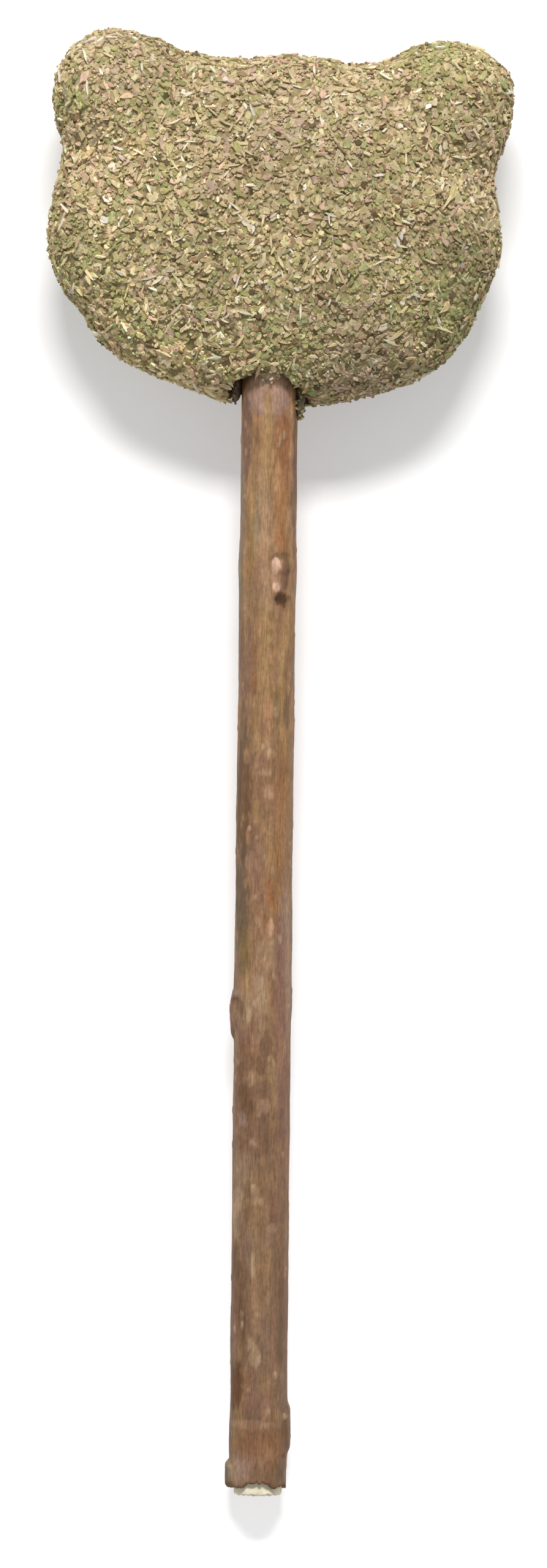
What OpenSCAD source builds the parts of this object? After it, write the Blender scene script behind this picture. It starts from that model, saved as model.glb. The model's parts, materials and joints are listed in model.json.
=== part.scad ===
// Herb chew toy for cats: a bear-shaped cake of pressed herb, pasted onto a natural twig.
// It lies on its back: +Z is up out of the front, +Y runs up the twig towards the head.

/* [Face] */
// Width of the face across the cheeks
face_w = 48.2; // [42:0.2:56]
// Height of the face from chin to forehead
face_h = 37.6; // [32:0.2:44]
// Squareness of the face, where 2 is an ellipse
face_squareness = 2.2; // [2:0.1:3]
// Thickness of the cake at its middle
cake_t = 17.4; // [15:0.2:22]
// Depth of the flat that the soft cake settled to on its back
land_depth = 0.6; // [0.3:0.1:1.2]
// Angle by which the head leans over on the twig
head_lean = 2; // [-4:0.1:4]

/* [Ears] */
// Diameter of an ear
ear_d = 13.9; // [12:0.1:17]
// Distance between the middles of the two ears
ear_spacing = 35.3; // [31:0.1:39]
// Height of the middle of an ear above the middle of the face
ear_rise = 14.1; // [12:0.1:16]
// Thickness of an ear at its middle
ear_t = 12; // [9:0.2:14]
// Softness of the hollow between ear and face
ear_blend = 0.3; // [0.15:0.05:0.5]

/* [Socket] */
// Gap all round the twig in its blind hole
socket_gap = 1.1; // [0.6:0.1:1.4]
// Height of the twig's axis in front of the middle of the cake's thickness
socket_rise = 1.2; // [0:0.1:2]
// Depth of the twig in the head, from the chin
insertion = 20; // [14:0.5:24]
// Paste between the end of the twig and the end of its hole
paste_floor = 2.4; // [1:0.1:4]
// Depth of the open ring at the mouth, from the chin to the paste
open_ring = 5; // [3:0.5:8]

/* [Twig] */
// Length of the bark below the chin
handle_length = 118.2; // [80:0.1:160]
// Diameter over the bark inside the head and down to the first knot
neck_d = 6.1; // [5.4:0.1:7]
// Diameter over the bark of the handle below the second knot
handle_d = 6.2; // [5.8:0.1:7.6]
// Thickness of the bark
bark_t = 0.5; // [0.3:0.05:0.8]
// Diameter of the soft pith
pith_d = 1.6; // [1:0.1:2.4]
// Length of bare wood that stands out of the bark at the cut end
wood_tip = 0.8; // [0.4:0.1:2]
// Depth to which the pith has dried back at the cut end
pith_recess = 0.3; // [0.1:0.1:0.6]
// Width of the worn edge of the bare wood
tip_wear = 0.25; // [0.1:0.05:0.5]

/* [Knots] */
// Distance from the chin to the first knot
first_knot = 17.5; // [12:0.5:24]
// Distance from one knot to the next
knot_spacing = 47.5; // [36:0.5:56]
// Length of the swelling at a knot
knot_length = 9; // [6:0.5:12]
// Height of the swelling at a knot
knot_swell = 0.1; // [0.05:0.05:0.3]
// Diameter of the bud cushion at a knot
bud_d = 4; // [3:0.2:5]
// Height of the bud cushion above the bark
bud_rise = 0.25; // [0.2:0.05:0.5]
// Direction of the first bud, turned from the front towards +X
bud_start = 35; // [0:5:90]
// Turn from one bud to the next
bud_turn = -144; // [-180:4:-100]

/* [Hidden] */

round_steps = 96;      // sides of a round surface
bud_steps = 48;        // sides of a bud cushion
outline_steps = 96;    // directions in which the cake's outline is worked out
dome_steps = 12;       // rings from the middle of the cake to its rim
search_steps = 24;     // halvings that find the outline in one direction
swell_steps = 8;       // rings along the swelling of a knot
least_step = 0.1;      // shortest stretch of bark between a ring and the cut end
past = 5;              // length by which a cutting tool runs past what it cuts

socket_d = neck_d + 2 * socket_gap;
socket_depth = insertion + paste_floor;
tip_d = handle_d - 2 * bark_t;
twig_end = handle_length + wood_tip;

// ---- The cake's shape: a field that is 1 at its middle and 0 on its outline ----
ear_share = pow(ear_t / cake_t, 2);

function face_field(x, y) =
    1 - pow(2 * abs(x) / face_w, face_squareness) - pow(2 * abs(y) / face_h, face_squareness);

function ear_field(x, y, side) =
    let (off = [x - side * ear_spacing / 2, y - ear_rise])
    ear_share * (1 - 4 * (off * off) / pow(ear_d, 2));

function soft_max(a, b) = (a + b + sqrt(pow(a - b, 2) + pow(ear_blend, 2))) / 2;

function cake_field(x, y) =
    soft_max(soft_max(face_field(x, y), ear_field(x, y, -1)), ear_field(x, y, 1));

// Distance from the middle of the face to the outline, by halving the interval
function outline_r(angle, low, high, left) =
    let (mid = (low + high) / 2)
    left == 0 ? mid :
    cake_field(mid * cos(angle), mid * sin(angle)) > 0 ?
        outline_r(angle, mid, high, left - 1) :
        outline_r(angle, low, mid, left - 1);

outline = [for (i = [0 : outline_steps - 1]) outline_r(i * 360 / outline_steps, 0, face_w, search_steps)];

// A point on the cake, with ring counted from the front pole over the rim to the back pole
function cake_point(ring, i) =
    let (
        share = sin(90 * ring / dome_steps),
        angle = i * 360 / outline_steps,
        x = share * outline[i] * cos(angle),
        y = share * outline[i] * sin(angle),
        half_t = ring == dome_steps ? 0 : cake_t / 2 * sqrt(max(0, cake_field(x, y)))
    )
    [x, y, ring < dome_steps ? half_t : -half_t];

// ---- The twig's shape, with s measured down from the chin ----
knot_count = floor((handle_length - first_knot) / knot_spacing) + 1;
knots = [for (k = [0 : knot_count - 1]) first_knot + k * knot_spacing];

function base_r(s) =
    let (share = min(1, max(0, (s - first_knot) / knot_spacing)))
    (neck_d + share * (handle_d - neck_d)) / 2;

function swell_at(s, knot) =
    abs(s - knot) < knot_length / 2 ? knot_swell * (1 + cos(360 * (s - knot) / knot_length)) / 2 : 0;

function sum(values, i = 0) = i < len(values) ? values[i] + sum(values, i + 1) : 0;

function twig_r(s) = base_r(s) + sum([for (k = knots) swell_at(s, k)]);

swell_places = [
    for (k = knots, j = [0 : swell_steps])
    let (s = k + (j / swell_steps - 0.5) * knot_length)
    if (s < handle_length - least_step) s
];
twig_places = concat([-insertion], swell_places, [handle_length]);

// ---- How it lies: the cake on its flat, and the twig's lower end on the same surface ----
head_middle = [face_h / 2 * sin(head_lean), face_h / 2 * cos(head_lean)];
axis_height = cake_t / 2 - land_depth + socket_rise;

// The slope at which the twig would just touch the surface at place s
function touching_slope(s) =
    let (arm = head_middle.y + s, r = twig_r(s))
    asin(axis_height / norm([arm, r])) - atan(r / arm);

slope = min([for (s = twig_places) if (s > 0) touching_slope(s)]);

// Outline points as they lie, to put the origin under the middle of the whole toy
lying_outline = [
    for (i = [0 : outline_steps - 1])
    let (angle = i * 360 / outline_steps - head_lean)
    [head_middle.x + outline[i] * cos(angle), outline[i] * sin(angle) * cos(slope)]
];
low_x = min([for (p = lying_outline) p.x]);
high_x = max([for (p = lying_outline) p.x]);
high_y = max([for (p = lying_outline) p.y]) + socket_rise * sin(slope);
low_y = -(head_middle.y + twig_end) * cos(slope) - (tip_d / 2 - tip_wear) * sin(slope);
centring = [-(low_x + high_x) / 2, -(low_y + high_y) / 2, axis_height];

// ---- Placing ----
// Children are drawn with the chin at the origin and the twig hanging down -Y
module lying() {
    translate(centring) rotate([slope, 0, 0]) translate([0, -head_middle.y, 0]) children();
}

// Children are drawn round +Z, which becomes the twig's axis, up towards the head
module along_twig() {
    rotate([-90, 0, 0]) children();
}

module full_cake() {
    last_ring = 2 * dome_steps - 1;
    points = concat(
        [cake_point(0, 0)],
        [for (ring = [1 : last_ring], i = [0 : outline_steps - 1]) cake_point(ring, i)],
        [cake_point(2 * dome_steps, 0)]
    );
    function at(ring, i) = 1 + (ring - 1) * outline_steps + i % outline_steps;
    faces = concat(
        [for (i = [0 : outline_steps - 1]) [0, at(1, i + 1), at(1, i)]],
        [for (ring = [1 : last_ring - 1], i = [0 : outline_steps - 1])
            [at(ring, i), at(ring, i + 1), at(ring + 1, i + 1)]],
        [for (ring = [1 : last_ring - 1], i = [0 : outline_steps - 1])
            [at(ring, i), at(ring + 1, i + 1), at(ring + 1, i)]],
        [for (i = [0 : outline_steps - 1]) [len(points) - 1, at(last_ring, i), at(last_ring, i + 1)]]
    );
    polyhedron(points, faces, convexity = 4);
}

// The twig as one solid, a depth in from the bark's surface, and longer by extra at both ends
module twig_solid(depth, extra) {
    top = insertion + extra;
    bottom = -handle_length - extra;
    along_twig() rotate_extrude($fn = round_steps) polygon(concat(
        [[0, top], [twig_r(-insertion) - depth, top]],
        [for (s = twig_places) [twig_r(s) - depth, -s]],
        [[twig_r(handle_length) - depth, bottom], [0, bottom]]
    ));
}

module bud_cushion(k) {
    reach = base_r(knots[k]) + bud_rise - bud_d / 2;
    turn = bud_start + k * bud_turn;
    translate([reach * sin(turn), -knots[k], reach * cos(turn)]) sphere(d = bud_d, $fn = bud_steps);
}

// ---- Sub-parts ----
// Cake of chopped leaf and stem, pressed in a mould, with a blind hole in the chin
module pressed_head() {
    color([0.66, 0.6, 0.44])
    difference() {
        lying() difference() {
            rotate([0, 0, -head_lean]) translate([0, face_h / 2, -socket_rise]) full_cake();
            along_twig() translate([0, 0, -past])
                cylinder(d = socket_d, h = socket_depth + past, $fn = round_steps);
        }
        translate([-face_w, -face_w + centring.y, -past]) cube([2 * face_w, 2 * face_w, past]);
    }
}

// Dried starch paste that fills the hole round and above the twig
module socket_paste() {
    color([0.78, 0.72, 0.58])
    lying() along_twig() difference() {
        translate([0, 0, open_ring])
            cylinder(d = socket_d, h = socket_depth - open_ring, $fn = round_steps);
        translate([0, 0, open_ring - past])
            cylinder(d = neck_d, h = insertion - open_ring + past, $fn = round_steps);
    }
}

// Bark of the twig, with its knots and bud cushions, open at both cut ends
module bark() {
    color([0.52, 0.37, 0.26])
    lying() difference() {
        union() {
            twig_solid(0, 0);
            for (k = [0 : knot_count - 1]) bud_cushion(k);
        }
        twig_solid(bark_t, past);
    }
}

// Wood under the bark, which stands out a little at the cut end
module wood() {
    color([0.9, 0.83, 0.66])
    lying() difference() {
        union() {
            twig_solid(bark_t, 0);
            along_twig() rotate_extrude($fn = round_steps) polygon([
                [0, -handle_length], [tip_d / 2, -handle_length], [tip_d / 2, tip_wear - twig_end],
                [tip_d / 2 - tip_wear, -twig_end], [0, -twig_end]
            ]);
        }
        along_twig() translate([0, 0, -twig_end - past])
            cylinder(d = pith_d, h = twig_end + insertion + 2 * past, $fn = round_steps);
    }
}

// Soft pith in the middle of the wood
module pith() {
    color([0.8, 0.7, 0.5])
    lying() along_twig() translate([0, 0, pith_recess - twig_end])
        cylinder(d = pith_d, h = twig_end - pith_recess + insertion, $fn = round_steps);
}

pressed_head();
socket_paste();
bark();
wood();
pith();
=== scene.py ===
import json
import math

import bpy
import numpy as np
from mathutils import Matrix, Vector, noise


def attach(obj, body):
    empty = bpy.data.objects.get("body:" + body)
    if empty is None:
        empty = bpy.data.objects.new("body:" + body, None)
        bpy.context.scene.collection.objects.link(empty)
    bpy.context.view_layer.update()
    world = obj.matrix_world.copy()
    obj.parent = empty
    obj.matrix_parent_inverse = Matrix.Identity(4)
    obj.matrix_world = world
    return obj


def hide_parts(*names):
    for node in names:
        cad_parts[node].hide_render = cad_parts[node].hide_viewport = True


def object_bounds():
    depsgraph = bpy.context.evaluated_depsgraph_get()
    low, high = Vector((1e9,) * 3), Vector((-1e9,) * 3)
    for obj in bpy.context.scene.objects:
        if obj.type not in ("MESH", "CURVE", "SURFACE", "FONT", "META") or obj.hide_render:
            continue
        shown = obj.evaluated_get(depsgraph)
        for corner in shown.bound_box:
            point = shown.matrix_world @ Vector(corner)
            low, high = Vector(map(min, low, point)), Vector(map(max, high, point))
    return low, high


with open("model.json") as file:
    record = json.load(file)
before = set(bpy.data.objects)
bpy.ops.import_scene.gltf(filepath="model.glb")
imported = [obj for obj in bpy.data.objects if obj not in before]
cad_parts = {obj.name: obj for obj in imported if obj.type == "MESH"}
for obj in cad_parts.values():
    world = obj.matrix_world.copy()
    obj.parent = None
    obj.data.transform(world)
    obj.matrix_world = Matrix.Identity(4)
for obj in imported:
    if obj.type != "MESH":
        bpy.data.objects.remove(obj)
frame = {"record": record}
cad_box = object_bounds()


# ---- Camera ----
# Straight down on the toy through a long lens, turned so that the twig's top leans a little to the
# right. The picture is a little longer than the toy.


def added(name, data):
    """Puts something into the scene under this name."""
    thing = bpy.data.objects.new(name, data)
    bpy.context.collection.objects.link(thing)
    return thing


MM = 0.001
picture_height = 170.75 * MM
picture_middle = Vector((-0.28 * MM, -2.13 * MM, 6 * MM))
picture_turn = math.radians(0.64)
camera_data = bpy.data.cameras.new("camera")
camera_data.lens = 400
camera_data.clip_start = 0.1
camera_data.clip_end = 100
camera_reach = picture_height / 2 * camera_data.lens / (camera_data.sensor_width / 2)
camera = added("camera", camera_data)
camera.location = picture_middle + Vector((0, 0, camera_reach))
camera.rotation_euler = (0, 0, picture_turn)
bpy.context.scene.camera = camera
bpy.context.scene.view_settings.view_transform = "Standard"


# ---- Light ----
# One broad lamp from beyond the ears, which throws the soft shadow below the chin, and an even pale
# light from all round. A level white surface gets a light of 1 from the two together.
key_height = math.radians(45)
key_share = 0.66
key_distance = 4.0
key_data = bpy.data.lights.new("key", "AREA")
key_data.shape = "RECTANGLE"
key_data.size = 1.5
key_data.size_y = 0.65
key_data.color = (1.0, 0.99, 0.97)
key_data.energy = key_share / math.sin(key_height) * (math.pi * key_distance) ** 2
key = added("key", key_data)
key.rotation_euler = (key_height - math.pi / 2, 0, 0)
key.location = key.rotation_euler.to_matrix() @ Vector((0, 0, key_distance))


def node(tree, kind, inputs=None, **settings):
    """Adds a node and gives back its outputs. Each input is given a constant, or the output that
    feeds it."""
    made = tree.nodes.new(kind)
    for setting, value in settings.items():
        setattr(made, setting, value)
    for name, value in (inputs or {}).items():
        if isinstance(value, bpy.types.NodeSocket):
            tree.links.new(value, made.inputs[name])
        else:
            made.inputs[name].default_value = value
    return made.outputs


def seen_directly(tree):
    """1 for rays from the camera, mirrors and glass, and 0 for the rays that light things."""
    path = node(tree, "ShaderNodeLightPath")
    either = node(tree, "ShaderNodeMath", {0: path["Is Camera Ray"], 1: path["Is Glossy Ray"]},
                  operation="MAXIMUM")[0]
    return node(tree, "ShaderNodeMath", {0: either, 1: path["Is Transmission Ray"]}, operation="MAXIMUM")[0]


def ranged(tree, value, from_min, from_max, to_min=0.0, to_max=1.0):
    """A value moved from one range to another, and held inside it."""
    return node(tree, "ShaderNodeMapRange", {"Value": value, "From Min": from_min, "From Max": from_max,
                                             "To Min": to_min, "To Max": to_max})[0]


world = bpy.data.worlds.new("studio")
world.use_nodes = True
world_tree = world.node_tree
world_tree.nodes.clear()
sky_light = node(world_tree, "ShaderNodeBackground",
                 {"Color": (0.97, 0.98, 1.0, 1), "Strength": 1 - key_share})
white_view = node(world_tree, "ShaderNodeBackground", {"Color": (1, 1, 1, 1), "Strength": 1.0})
world_mix = node(world_tree, "ShaderNodeMixShader",
                 {0: seen_directly(world_tree), 1: sky_light[0], 2: white_view[0]})
node(world_tree, "ShaderNodeOutputWorld", {"Surface": world_mix[0]})
bpy.context.scene.world = world


# ---- Floor ----
# A white board that the toy lies on. It scatters the lamp's light and adds a plain white glow for the
# camera, which grows towards the twig's end and far off, so that the board is white all over and
# still keeps the toy's shadow.
floor_size = 40.0
floor_white = 0.86
floor_mesh = bpy.data.meshes.new("floor")
corners = [(x * floor_size, y * floor_size, 0) for x, y in ((-1, -1), (1, -1), (1, 1), (-1, 1))]
floor_mesh.from_pydata(corners, [], [(0, 1, 2, 3)])
floor = added("floor", floor_mesh)
floor_material = bpy.data.materials.new("white board")
floor_material.use_nodes = True
floor_tree = floor_material.node_tree
floor_tree.nodes.clear()
floor_colour = (floor_white, floor_white, floor_white * 1.01, 1)
board = node(floor_tree, "ShaderNodeBsdfDiffuse", {"Color": floor_colour})
glow_near_head = 0.32
glow_at_end = 0.53
far_from = 0.12
far_to = 0.5
floor_place = node(floor_tree, "ShaderNodeTexCoord")["Object"]
floor_parts = node(floor_tree, "ShaderNodeSeparateXYZ", {"Vector": floor_place})
glow_strength = ranged(floor_tree, floor_parts["Y"], cad_box[0][1], 0.0, glow_at_end, glow_near_head)
floor_reach = node(floor_tree, "ShaderNodeVectorMath", {0: floor_place}, operation="LENGTH")
glow_far = ranged(floor_tree, floor_reach["Value"], far_from, far_to)
glow_sum = node(floor_tree, "ShaderNodeMath", {0: glow_strength, 1: glow_far}, operation="ADD")
glow = node(floor_tree, "ShaderNodeEmission", {"Color": (1, 1, 1, 1), "Strength": glow_sum[0]})
plain = node(floor_tree, "ShaderNodeEmission", {"Color": (0, 0, 0, 1), "Strength": 0.0})
shown_glow = node(floor_tree, "ShaderNodeMixShader",
                  {0: seen_directly(floor_tree), 1: plain[0], 2: glow[0]})
board_sum = node(floor_tree, "ShaderNodeAddShader", {0: board[0], 1: shown_glow[0]})
node(floor_tree, "ShaderNodeOutputMaterial", {"Surface": board_sum[0]})
floor_mesh.materials.append(floor_material)


# ---- Pressed cake ----
# Chopped catnip leaf and stem, damped and pressed in a mould with two round ears, then dried lying on
# its back. The twig's blind hole is in the chin. This is the close, grainy body under the loose skin
# of flakes, and it stands for the CAD cake.
face_w = 48.2 * MM
face_h = 37.6 * MM
face_squareness = 2.2
cake_t = 17.4 * MM
head_lean = math.radians(2)
ear_d = 13.9 * MM
ear_spacing = 35.3 * MM
ear_rise = 14.1 * MM
ear_t = 12 * MM
ear_blend = 0.3
socket_d = 8.3 * MM
socket_rise = 1.2 * MM
socket_depth = 22.4 * MM
mouth_w = 8.9 * MM
mouth_front = 3.95 * MM
mouth_shift = -0.33 * MM
grip_from_chin = 88.75 * MM

mounts = {mount["name"]: mount for mount in frame["record"]["mounts"]}
down_twig = Vector(mounts["handle_grip"]["axis"])
chin = Vector(mounts["handle_grip"]["pos_m"]) - grip_from_chin * down_twig
slope = math.atan2(-down_twig.z, -down_twig.y)
# The twig and its hole are drawn with the chin at the origin, the twig down -Y and the front up, and
# are laid down by this matrix
lying = Matrix.Translation(chin) @ Matrix.Rotation(slope, 4, "X")
face_middle = Matrix.Translation((0, face_h / 2, -socket_rise))
face_frame = lying @ Matrix.Rotation(-head_lean, 4, "Z") @ face_middle


def cake_field(x, y):
    """1 in the middle of the cake and 0 on its outline."""
    field = 1 - (2 * abs(x) / face_w) ** face_squareness - (2 * abs(y) / face_h) ** face_squareness
    for side in (-1, 1):
        off = (x - side * ear_spacing / 2) ** 2 + (y - ear_rise) ** 2
        ear = (ear_t / cake_t) ** 2 * (1 - 4 * off / ear_d**2)
        field = (field + ear + np.sqrt((field - ear) ** 2 + ear_blend**2)) / 2
    return field


def moved(points, matrix):
    """Rows of points, moved by a matrix."""
    m = np.array(matrix)
    return points @ m[:3, :3].T + m[:3, 3]


def mesh_of(name, points, *faces):
    """A mesh from rows of points, and arrays of faces with one number of corners each."""
    mesh = bpy.data.meshes.new(name)
    mesh.vertices.add(len(points))
    mesh.vertices.foreach_set("co", np.asarray(points, np.float32).ravel())
    corners = np.concatenate([group.ravel() for group in faces])
    counts = np.concatenate([np.full(len(group), group.shape[1]) for group in faces])
    mesh.loops.add(len(corners))
    mesh.loops.foreach_set("vertex_index", corners.astype(np.int32))
    mesh.polygons.add(len(counts))
    mesh.polygons.foreach_set("loop_start", (np.cumsum(counts) - counts).astype(np.int32))
    mesh.update(calc_edges=True)
    mesh.validate()
    return mesh


def placed(mesh, material=None, smooth=False):
    """Puts a mesh into the scene as an object of the same name."""
    piece = added(mesh.name, mesh)
    mesh.polygons.foreach_set("use_smooth", np.full(len(mesh.polygons), smooth))
    if material:
        mesh.materials.clear()
        mesh.materials.append(material)
    return piece


def rings_closed(rings, sides, loop=False):
    """Quads between rings of points, numbered ring by ring, and in a loop also from last to first."""
    ring, side = np.meshgrid(np.arange(rings if loop else rings - 1), np.arange(sides), indexing="ij")
    here, above = ring * sides, (ring + 1) % rings * sides
    along = (side + 1) % sides
    return np.stack([here + side, here + along, above + along, above + side], -1).reshape(-1, 4)


def around(sides):
    """Turns in equal steps, once round."""
    return np.arange(sides) * 2 * math.pi / sides


def degrees_off(turns, degrees):
    """How far turns are from one in degrees, -180 to 180."""
    return (np.degrees(turns) - degrees + 180) % 360 - 180


def capped(name, points, rings, sides):
    """A mesh of closed rings of points, with a face over each end."""
    side = np.arange(sides)
    caps = np.stack([side[::-1], side + (rings - 1) * sides])
    return mesh_of(name, points, rings_closed(rings, sides), caps)


directions = 240
dome_rings = 48
halvings = 24
turn = around(directions)
inner = np.zeros(directions)
outer = np.full(directions, face_w)
for halving in range(halvings):
    middle = (inner + outer) / 2
    inside = cake_field(middle * np.cos(turn), middle * np.sin(turn)) > 0
    inner = np.where(inside, middle, inner)
    outer = np.where(inside, outer, middle)
share = np.sin(np.radians(np.arange(1, 2 * dome_rings) * 90 / dome_rings))[:, None]
field = cake_field(share * inner * np.cos(turn), share * inner * np.sin(turn))
dome_z = cake_t / 2 * np.sqrt(np.maximum(0, field))
# The soft cake came out of its mould a little uneven: degrees round the face from +X, half width in
# degrees, and mm outwards
bulges = [(185, 14, 0.5), (37, 5, 0.55), (29, 5, -0.3), (12, 8, -0.6), (237, 14, -0.6), (321, 10, 0.3),
          (344, 9, -0.65), (205, 5, -0.75), (127, 5, -0.7), (118, 4, 0.6), (101, 6, -0.4), (60, 4, 0.4)]
uneven = inner.copy()
for towards, half_width, outwards in bulges:
    uneven += outwards * MM * np.exp(-(degrees_off(turn, towards) / half_width) ** 2)
dome_x = share * uneven * np.cos(turn)
dome_y = share * uneven * np.sin(turn)
dome_z[dome_rings - 1] = 0
dome_z[dome_rings:] *= -1
dome = np.stack([dome_x.ravel(), dome_y.ravel(), dome_z.ravel()], 1)
poles = np.array([[0, 0, cake_t / 2], [0, 0, -cake_t / 2]])
last_ring = len(dome) - directions
after = (np.arange(directions) + 1) % directions
front_cap = np.stack([np.full(directions, len(dome)), np.arange(directions), after], 1)
back_cap = np.stack([np.full(directions, len(dome) + 1), last_ring + after,
                     last_ring + np.arange(directions)], 1)
body_faces = rings_closed(2 * dome_rings - 1, directions)[:, ::-1]
body = placed(mesh_of("cake_body", moved(np.vstack([dome, poles]), face_frame), body_faces, front_cap,
                      back_cap))

# The cutters: the twig's hole, and the surface that the soft cake settled on
cut_sides = 96
cut_turn = around(cut_sides)
past = 5 * MM
block_y = 50 * MM
voxel = 0.26 * MM
hole_x = mouth_shift + mouth_w / 2 * np.sin(cut_turn)
hole_z = np.cos(cut_turn) * np.where(np.cos(cut_turn) > 0, mouth_front, socket_d / 2)
hole_rings = [np.stack([hole_x, np.full(cut_sides, y), hole_z], 1) for y in (-past, socket_depth)]
hole = placed(capped("hole_cutter", moved(np.vstack(hole_rings), lying), 2, cut_sides))
block = np.array([[x * face_w, y * face_w + block_y, z * past - past]
                  for z in (0, 1) for y in (-1, 1) for x in (-1, 1)])
block_faces = np.array([[0, 2, 3, 1], [4, 5, 7, 6], [0, 1, 5, 4],
                        [2, 6, 7, 3], [0, 4, 6, 2], [1, 3, 7, 5]])
settle = placed(mesh_of("settle_cutter", block, block_faces))
for cutter in (hole, settle):
    cut = body.modifiers.new("cut", "BOOLEAN")
    cut.object = cutter
    cut.operation = "DIFFERENCE"
    cut.solver = "EXACT"
even = body.modifiers.new("even", "REMESH")
even.mode = "VOXEL"
even.voxel_size = voxel
depsgraph = bpy.context.evaluated_depsgraph_get()
cake_mesh = bpy.data.meshes.new_from_object(body.evaluated_get(depsgraph))
cake_mesh.name = "herb_cake"
for spare in (body, hole, settle):
    bpy.data.objects.remove(spare)


def rows_of(items, name, width=3):
    """One property of many mesh items, as rows."""
    found = np.empty(len(items) * width, np.float32)
    items.foreach_get(name, found)
    return found.reshape(-1, width).astype(float)


def noise_at(points, size, octaves=2):
    """Fractal noise of about -1 to 1 at rows of points, with lumps of this size."""
    return np.array([noise.fractal(Vector(p), 1.0, 2.0, octaves) for p in points / size])


def grains_at(points, size):
    """Distance from the middle of the nearest grain, in grains, at rows of points."""
    return np.array([noise.voronoi(Vector(p))[0][0] for p in points / size])


def in_twig_frame(points):
    """Distance from the twig's axis as a share of the hole's size that way, distance below the chin,
    and height over the axis."""
    local = moved(points, lying.inverted())
    off = (local[:, 0] - mouth_shift) / (mouth_w / 2)
    height = local[:, 2] / np.where(local[:, 2] > 0, mouth_front, socket_d / 2)
    return np.hypot(off, height), -local[:, 1], local[:, 2]


lump_size = 5 * MM
lump_height = 0.16 * MM
grain_size = 1.15 * MM
grain_height = 0.3 * MM
crumb_size = 0.55 * MM
crumb_height = 0.1 * MM
grain_level = 0.45
lip_reach = 0.35
lip_height = 0.3 * MM
lip_level = 0.4
lip_depth = 3 * MM
lip_lump = 1.3 * MM
hole_wall = 1.04
hole_relief = 0.5
soak_and_shade_reach = 1.1
soak_and_shade_fade = 0.08
skin = rows_of(cake_mesh.vertices, "co")
skin_normal = rows_of(cake_mesh.vertex_normals, "vector")
from_axis, below_chin, over_axis = in_twig_frame(skin)
beside_hole = below_chin > -socket_depth - past
lip = np.exp(-((from_axis - 1) / lip_reach) ** 2) * (below_chin > -lip_depth)
lip = lip * np.clip(over_axis / MM, 0, 1)
relief = (lump_height * noise_at(skin, lump_size)
          + grain_height * (grain_level - grains_at(skin, grain_size))
          + crumb_height * noise_at(skin, crumb_size)
          - lip_height * lip * (lip_level + noise_at(skin, lip_lump)))
relief *= np.where((from_axis < hole_wall) & beside_hole, hole_relief, 1)
skin += skin_normal * relief[:, None]
skin[:, 2] = np.maximum(skin[:, 2], 0)
cake_mesh.vertices.foreach_set("co", skin.astype(np.float32).ravel())
cake_mesh.update()
# The hole's wall is painted dark brown: partly paste that soaked into it and dried, partly painted
# shade for the dark inside of the hole
soak_and_shade = np.clip((soak_and_shade_reach - from_axis) / soak_and_shade_fade, 0, 1) * beside_hole
cake_mesh.attributes.new("soak_and_shade", "FLOAT", "POINT").data.foreach_set("value", soak_and_shade.astype(np.float32))


def material_of(name, roughness, specular):
    """A material with a plain shader, and its node tree."""
    material = bpy.data.materials.new(name)
    material.use_nodes = True
    shader = material.node_tree.nodes["Principled BSDF"]
    shader.inputs["Roughness"].default_value = roughness
    shader.inputs["Specular IOR Level"].default_value = specular
    return material, material.node_tree, shader


def ramp(tree, value, *stops):
    """A colour ramp over a value, from (place, colour) stops."""
    made = node(tree, "ShaderNodeValToRGB", {"Fac": value})["Color"]
    elements = made.node.color_ramp.elements
    while len(elements) < len(stops):
        elements.new(0.5)
    for element, (place, colour) in zip(elements, stops):
        element.position = place
        element.color = (*colour, 1)
    return made


def multiplied(tree, colour, shade, share=1.0):
    """A colour multiplied by a shade."""
    return node(tree, "ShaderNodeMix", {0: share, 6: colour, 7: shade}, data_type="RGBA",
                blend_type="MULTIPLY")[2]


def cloud(tree, place, scale, detail):
    """Noise over coordinates, 0 to 1."""
    return node(tree, "ShaderNodeTexNoise", {"Vector": place, "Scale": scale, "Detail": detail})["Fac"]


def cells_of(tree, place, scale=1.0):
    """The outputs of a pattern of cells over coordinates."""
    return node(tree, "ShaderNodeTexVoronoi", {"Vector": place, "Scale": scale})


def roughened(tree, shader, height, depth, strength, **settings):
    """Gives a shader a fine relief of this depth."""
    inputs = {"Height": height, "Distance": depth, "Strength": strength}
    tree.links.new(node(tree, "ShaderNodeBump", inputs, **settings)[0], shader.inputs["Normal"])


white = (1.0, 1.0, 1.0)
straw = (0.80, 0.67, 0.41)
cream = (0.92, 0.84, 0.66)
tan = (0.65, 0.52, 0.295)
rosy = (0.71, 0.52, 0.36)
olive = (0.47, 0.42, 0.185)
green = (0.41, 0.42, 0.19)
brown = (0.40, 0.28, 0.15)
dark = (0.17, 0.12, 0.06)
# Dark brown of the hole's wall: soaked paste, and painted shade
soak_and_shade_colour = (0.20, 0.11, 0.035)

cake_material, tree, shader = material_of("pressed herb", 0.95, 0.2)
place = node(tree, "ShaderNodeTexCoord")["Object"]
cells = cells_of(tree, place, 1 / (0.9 * MM))["Color"]
cell_shade = node(tree, "ShaderNodeSeparateColor", {"Color": cells})[0]
cell_colour = ramp(tree, cell_shade, (0.0, brown), (0.3, olive), (0.6, tan), (1.0, straw))
speck = cloud(tree, place, 1 / (0.35 * MM), 4.0)
speckled = multiplied(tree, cell_colour, ramp(tree, speck, (0.3, (0.55, 0.55, 0.55)), (0.7, white)))
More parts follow.
